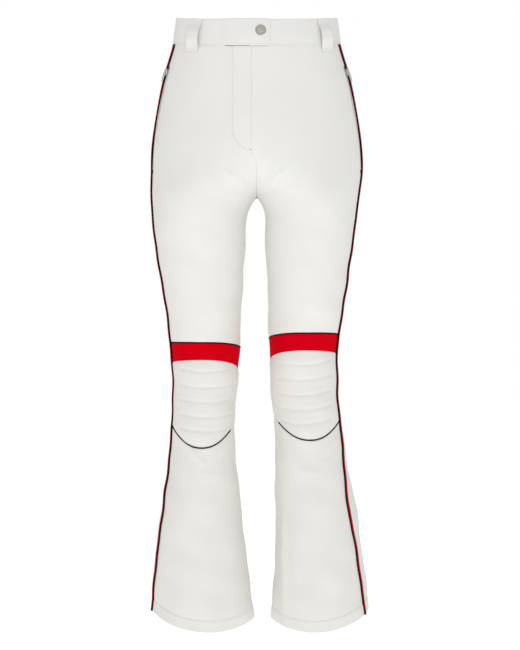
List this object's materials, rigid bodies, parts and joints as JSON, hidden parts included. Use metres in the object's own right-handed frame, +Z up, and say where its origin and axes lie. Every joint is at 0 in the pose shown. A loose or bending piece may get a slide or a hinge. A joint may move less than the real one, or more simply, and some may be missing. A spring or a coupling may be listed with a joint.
{
  "type": "ski pants",
  "caption": "High-waist flared softshell ski pants with side stripes, red knee bands, quilted knee pads, fly and pocket zips, a snap waist tab and belt loops.",
  "frame": {"origin": "centre of the waist opening, level with the top of the waistband at the sides", "axes": "+Z up towards the waist, -Y the front, +X the wearer's left"},
  "size_m": [0.3702, 0.2347, 1.0497],
  "materials": {
    "ivory_softshell": "matt stretch twill softshell, ivory",
    "quilted_softshell": "ivory softshell quilted over foam",
    "lining": "plain woven lining, ivory",
    "navy_piping": "navy woven piping",
    "side_tape": "red ribbed edging tape",
    "red_band": "matt red stretch softshell",
    "zip_tape": "woven zip tape, ivory",
    "silver_metal": "satin nickel"
  },
  "bodies": {
    "seat": {"waistband_shell": "ivory_softshell", "waistband_facing": "lining", "left_front_belt_loop": "ivory_softshell", "right_front_belt_loop": "ivory_softshell", "left_back_belt_loop": "ivory_softshell", "right_back_belt_loop": "ivory_softshell", "back_belt_loop": "ivory_softshell", "left_front_hip_panel": "ivory_softshell", "left_back_hip_panel": "ivory_softshell", "left_hip_piping": "navy_piping", "left_hip_side_tape": "side_tape", "left_pocket_zip_strip": "zip_tape", "left_pocket_bag": "lining", "right_front_hip_panel": "ivory_softshell", "right_back_hip_panel": "ivory_softshell", "right_hip_piping": "navy_piping", "right_hip_side_tape": "side_tape", "right_pocket_zip_strip": "zip_tape", "right_pocket_bag": "lining", "fly_shield": "lining", "fly_zip_tape": "zip_tape", "fly_zip_chain": "silver_metal", "snap_stud": "silver_metal"},
    "left_thigh": {"left_thigh_front_panel": "ivory_softshell", "left_thigh_back_panel": "ivory_softshell", "left_thigh_piping": "navy_piping", "left_thigh_side_tape": "side_tape", "left_knee_band_piping": "navy_piping", "left_knee_band": "red_band", "left_knee_pad": "quilted_softshell", "left_knee_curve_piping": "navy_piping"},
    "left_calf": {"left_calf_front_panel": "ivory_softshell", "left_calf_back_panel": "ivory_softshell", "left_calf_piping": "navy_piping", "left_calf_side_tape": "side_tape", "left_hem_facing": "lining"},
    "right_thigh": {"right_thigh_front_panel": "ivory_softshell", "right_thigh_back_panel": "ivory_softshell", "right_thigh_piping": "navy_piping", "right_thigh_side_tape": "side_tape", "right_knee_band_piping": "navy_piping", "right_knee_band": "red_band", "right_knee_pad": "quilted_softshell", "right_knee_curve_piping": "navy_piping"},
    "right_calf": {"right_calf_front_panel": "ivory_softshell", "right_calf_back_panel": "ivory_softshell", "right_calf_piping": "navy_piping", "right_calf_side_tape": "side_tape", "right_hem_facing": "lining"},
    "fly_front": {"waist_tab": "ivory_softshell", "fly_flap": "ivory_softshell", "snap_cap": "silver_metal", "snap_socket": "silver_metal"},
    "fly_zip_carriage": {"fly_zip_slider": "silver_metal", "fly_zip_pull": "silver_metal"},
    "left_pocket_zip_carriage": {"left_pocket_zip_slider": "silver_metal"},
    "left_pocket_zip_tab": {"left_pocket_zip_pull": "silver_metal"},
    "right_pocket_zip_carriage": {"right_pocket_zip_slider": "silver_metal"},
    "right_pocket_zip_tab": {"right_pocket_zip_pull": "silver_metal"}
  },
  "joints": [
    {"name": "left_hip_fold", "type": "hinge", "parent": "seat", "child": "left_thigh", "pos_m": [0.088, -0.1032, -0.33], "axis": [-1, 0, 0], "range_deg": [0, 60], "stiffness_Nm_per_rad": 2, "springref_deg": -20.05},
    {"name": "left_knee_fold", "type": "hinge", "parent": "left_thigh", "child": "left_calf", "pos_m": [0.082, 0.0668, -0.634], "axis": [1, 0, 0], "range_deg": [0, 90], "stiffness_Nm_per_rad": 1, "springref_deg": -14.32},
    {"name": "right_hip_fold", "type": "hinge", "parent": "seat", "child": "right_thigh", "pos_m": [-0.092, -0.1032, -0.33], "axis": [-1, 0, 0], "range_deg": [0, 60], "stiffness_Nm_per_rad": 2, "springref_deg": -20.05},
    {"name": "right_knee_fold", "type": "hinge", "parent": "right_thigh", "child": "right_calf", "pos_m": [-0.0885, 0.0668, -0.634], "axis": [1, 0, 0], "range_deg": [0, 90], "stiffness_Nm_per_rad": 1, "springref_deg": -14.32},
    {"name": "fly_flap_open", "type": "hinge", "parent": "seat", "child": "fly_front", "pos_m": [-0.0394, -0.10504, -0.232], "axis": [0, 0.0868, 0.9962], "range_deg": [-50, 0]},
    {"name": "fly_zip_run", "type": "slide", "parent": "seat", "child": "fly_zip_carriage", "axis": [0, -0.0712, -0.9975], "range_m": [0, 0.12]},
    {"name": "left_pocket_zip_run", "type": "hinge", "parent": "seat", "child": "left_pocket_zip_carriage", "pos_m": [-0.3125, -0.29387, -0.2677], "axis": [-0.4877, 0.8724, -0.0319], "range_deg": [0, 15.5]},
    {"name": "left_pocket_pull_lift", "type": "hinge", "parent": "left_pocket_zip_carriage", "child": "left_pocket_zip_tab", "pos_m": [0.15353, -0.03219, -0.09427], "axis": [-0.4095, -0.8799, -0.2411], "range_deg": [0, 100]},
    {"name": "right_pocket_zip_run", "type": "hinge", "parent": "seat", "child": "right_pocket_zip_carriage", "pos_m": [0.30188, -0.2875, -0.26488], "axis": [-0.4872, -0.8727, 0.0318], "range_deg": [0, 15.5]},
    {"name": "right_pocket_pull_lift", "type": "hinge", "parent": "right_pocket_zip_carriage", "child": "right_pocket_zip_tab", "pos_m": [-0.15353, -0.03219, -0.09427], "axis": [-0.4089, 0.8797, 0.2427], "range_deg": [0, 100]}
  ]
}
